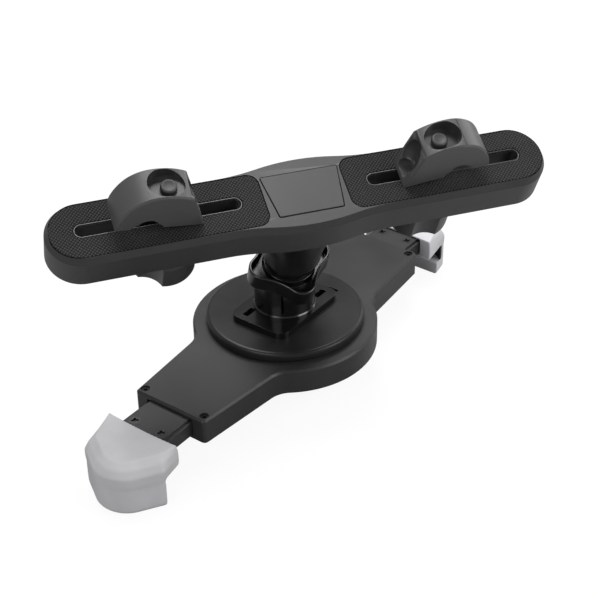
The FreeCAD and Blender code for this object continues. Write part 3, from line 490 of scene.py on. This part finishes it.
# Inward-facing faces take the painted shade of the hollow.
for face in nut.data.polygons:
    inward = -face.normal.xy.dot(face.center.xy.normalized())
    face.material_index = 1 if inward > 0.4 else 0
paint("nut_washer", arm_black)


# Clamping jaws
# Two arched wedges on the bar's face, pulled down on the headrest posts by a bolt each.
# Moulded in a slightly lighter black, with a deep round pocket for the bolt's head.
jaw_stations = {"left": -0.0599, "right": 0.0563}
hollow_centre = (-0.0121, 0, 0.0125)
hollow_radii = (0.0052, 0.0060, 0.0085)
hollow_lean = math.radians(15.0)


def hollow_out(piece, station, turn):
    """Scoops a smooth hollow out of the jaw's inner end, with a round cutter."""
    bpy.ops.object.select_all(action="DESELECT")
    bpy.ops.mesh.primitive_uv_sphere_add(segments=64, ring_count=32, radius=1.0, location=(0, 0, 0))
    cutter = bpy.context.object
    cutter.scale = hollow_radii
    cutter.rotation_euler = (0, hollow_lean, 0)
    cutter.location = (hollow_centre[0], hollow_centre[1], hollow_centre[2] + bar_top)
    bpy.ops.object.transform_apply(location=True, rotation=True, scale=True)
    to_bar(cutter, station, turn)
    select_only(piece)
    cut = piece.modifiers.new("hollow", "BOOLEAN")
    cut.object = cutter
    cut.operation = "DIFFERENCE"
    cut.solver = "EXACT"
    bpy.ops.object.modifier_apply(modifier=cut.name)
    bpy.ops.object.shade_smooth_by_angle(angle=math.radians(35))
    bpy.data.objects.remove(cutter)


pocket_floor = 0.0189
pocket_reach = 0.00685
pocket_shift = 0.0022


def polish_and_shade_hollows(piece, station, turn):
    """Marks the faces inside the hollow and the bolt's pocket, which get a glossier finish and a darker
    black that paints their shade.
    """
    back = place_on_bar(station, turn).inverted()
    lean = Matrix.Rotation(-hollow_lean, 3, "Y")
    for face in piece.data.polygons:
        spot = back @ face.center - Vector((0, 0, bar_top))
        along = spot.x - min(max(spot.x, 0.0), pocket_shift)
        in_pocket = spot.z > pocket_floor - 0.0005 and math.hypot(along, spot.y) < pocket_reach
        away = lean @ (spot - Vector(hollow_centre))
        ratio = Vector([a / r for a, r in zip(away, hollow_radii)]).length
        face.material_index = 1 if in_pocket or abs(ratio - 1) < 0.05 else 0


jaw_black = black_plastic("jaw_black", 0.055, 0.42, grain=0.12, specular=0.4)
# The second black is glossier, and darker as painted shade inside the hollow and the pocket.
polish_and_painted_shade = black_plastic("polish_and_painted_shade", 0.03, 0.3, grain=0.03, specular=0.4)
for side, turn in (("left", math.pi), ("right", 0.0)):
    jaw = softened("jaw_" + side, "clamp_jaw_" + side, jaw_black, "jaw_" + side, 0.0004)
    hollow_out(jaw, jaw_stations[side], turn)
    jaw.data.materials.append(polish_and_painted_shade)
    polish_and_shade_hollows(jaw, jaw_stations[side], turn)


# Clamp bolts
# A round-headed steel bolt in each jaw's pocket, its shank running down through the slot to the knob.
# Cold headed with a dished top, and blackened all over, so that it looks much like the mouldings.
head_radius = 0.0035
head_height = 0.0024
head_seat = bar_top + pocket_floor
shank_radius = 0.002
shank_tip = bar_top - 0.031


def clamp_bolt(side, turn):
    """The head first, its edge rounded and its top dished, then the shank under it."""
    bpy.ops.object.select_all(action="DESELECT")
    bpy.ops.mesh.primitive_cylinder_add(vertices=48, radius=head_radius, depth=head_height,
                                        location=(0, 0, head_seat + head_height / 2))
    bolt = bpy.context.object
    bolt.name = "round_bolt_" + side
    bpy.ops.object.transform_apply(location=True, rotation=True, scale=True)
    top = head_seat + head_height
    bpy.ops.object.mode_set(mode="EDIT")
    bpy.ops.mesh.select_mode(type="FACE")
    bpy.ops.mesh.select_all(action="DESELECT")
    mesh = bmesh.from_edit_mesh(bolt.data)
    for face in mesh.faces:
        face.select_set(face.normal.z > 0.9)
    bmesh.update_edit_mesh(bolt.data)
    bpy.ops.mesh.bevel(offset=0.0009, segments=5, affect="EDGES")
    bpy.ops.mesh.select_all(action="DESELECT")
    mesh = bmesh.from_edit_mesh(bolt.data)
    for face in mesh.faces:
        face.select_set(face.normal.z > 0.99 and abs(face.calc_center_median().z - top) < 0.00001)
    bmesh.update_edit_mesh(bolt.data)
    bpy.ops.mesh.inset(thickness=0.0005, depth=-0.00012)
    bpy.ops.mesh.inset(thickness=0.0008, depth=-0.00022)
    bpy.ops.mesh.inset(thickness=0.0007, depth=-0.00006)
    bpy.ops.mesh.select_all(action="DESELECT")
    bpy.ops.mesh.primitive_cylinder_add(vertices=40, radius=shank_radius, depth=head_seat - shank_tip,
                                        location=(0, 0, 0.5 * (head_seat + shank_tip)))
    mesh = bmesh.from_edit_mesh(bolt.data)
    for face in mesh.faces:
        face.select_set(face.normal.z < -0.9 and face.calc_center_median().z < shank_tip + 0.0001)
    bmesh.update_edit_mesh(bolt.data)
    bpy.ops.mesh.bevel(offset=0.0005, segments=2, affect="EDGES")
    bpy.ops.object.mode_set(mode="OBJECT")
    bpy.ops.object.shade_smooth_by_angle(angle=math.radians(35))
    to_bar(bolt, jaw_stations[side], turn)
    bolt.data.materials.append(bolt_black)
    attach(bolt, "jaw_" + side)
    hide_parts("clamp_bolt_" + side)


bolt_black = black_plastic("bolt_black", 0.03, 0.5, grain=0.1, specular=0.35)
clamp_bolt("left", math.pi)
clamp_bolt("right", 0.0)


# Clamp knobs
# Hand knobs under the bar with a brass insert for the bolt.
# Moulded black, with a broad bevel and shallow hollows for the fingers.
knob_black = black_plastic("knob_black", 0.032, 0.42, grain=0.15, specular=0.4)
brass = metal("brass", (0.62, 0.44, 0.18), 0.35)
for side in ("left", "right"):
    softened("knob_" + side, "hand_knob_" + side, knob_black, "knob_" + side, 0.0005)
    paint("knob_insert_" + side, brass)


# Floor
# A plain pale floor that the mount's claws stand on.
floor_level = cad_box[0].z
bpy.ops.mesh.primitive_plane_add(size=6.0, location=(0, 0, floor_level))
floor = bpy.context.object
floor.name = "floor"
floor_paint = bpy.data.materials.new("floor_paint")
floor_paint.use_nodes = True
tree = floor_paint.node_tree
surface = tree.nodes["Principled BSDF"]
surface.inputs["Base Color"].default_value = (0.34, 0.34, 0.34, 1)
surface.inputs["Roughness"].default_value = 0.9
surface.inputs["Specular IOR Level"].default_value = 0.0
glow = tree.nodes.new("ShaderNodeEmission")
glow.inputs["Color"].default_value = (1, 1, 1, 1)
glow.inputs["Strength"].default_value = 1.15
rays = tree.nodes.new("ShaderNodeLightPath")
share = tree.nodes.new("ShaderNodeMath")
share.operation = "MULTIPLY"
share.inputs[1].default_value = 0.8
blend = tree.nodes.new("ShaderNodeMixShader")
tree.links.new(rays.outputs["Is Camera Ray"], share.inputs[0])
tree.links.new(share.outputs["Value"], blend.inputs["Fac"])
tree.links.new(surface.outputs["BSDF"], blend.inputs[1])
tree.links.new(glow.outputs["Emission"], blend.inputs[2])
tree.links.new(blend.outputs["Shader"], tree.nodes["Material Output"].inputs["Surface"])
floor.data.materials.append(floor_paint)


# Light
# A broad soft light overhead, three weaker ones at the sides, and an even white surround.
def soft_light(name, place, target, size, power):
    lamp = bpy.data.lights.new(name, "AREA")
    lamp.shape = "SQUARE"
    lamp.size = size
    lamp.energy = power
    light = bpy.data.objects.new(name, lamp)
    bpy.context.scene.collection.objects.link(light)
    light.location = place
    direction = [t - p for t, p in zip(target, place)]
    light.rotation_mode = "QUATERNION"
    light.rotation_quaternion = Vector(direction).to_track_quat("-Z", "Y")


soft_light("overhead", (0.05, 0.4, 1.05), (0, 0, 0.05), 0.8, 15.0)
soft_light("left", (-0.7, -0.58, 0.52), (-0.05, 0, 0.02), 0.5, 3.9)
soft_light("right", (0.8, 0.35, 0.45), (0, 0, 0.05), 0.5, 2.2)
soft_light("front_right", (0.6, -0.45, 0.42), (0.09, -0.03, 0.08), 0.45, 4.0)
world = bpy.data.worlds.new("surround")
bpy.context.scene.world = world
world.use_nodes = True
sky = world.node_tree
back = sky.nodes["Background"]
back.inputs["Color"].default_value = (1, 1, 1, 1)
view_rays = sky.nodes.new("ShaderNodeLightPath")
level = sky.nodes.new("ShaderNodeMapRange")
level.inputs["To Min"].default_value = 0.34
level.inputs["To Max"].default_value = 1.0
sky.links.new(view_rays.outputs["Is Camera Ray"], level.inputs["Value"])
sky.links.new(level.outputs["Result"], back.inputs["Strength"])


# Camera
# A long lens from the front left and above.
camera_data = bpy.data.cameras.new("camera")
camera_data.lens = 90.2
camera_data.sensor_width = 36.0
camera_data.clip_start = 0.01
camera = bpy.data.objects.new("camera", camera_data)
bpy.context.scene.collection.objects.link(camera)
camera.location = (-0.17251, -0.55086, 0.40967)
camera.rotation_euler = (math.radians(56.0448), math.radians(0.6698), math.radians(-18.5389))
bpy.context.scene.camera = camera
bpy.context.scene.view_settings.view_transform = "Standard"
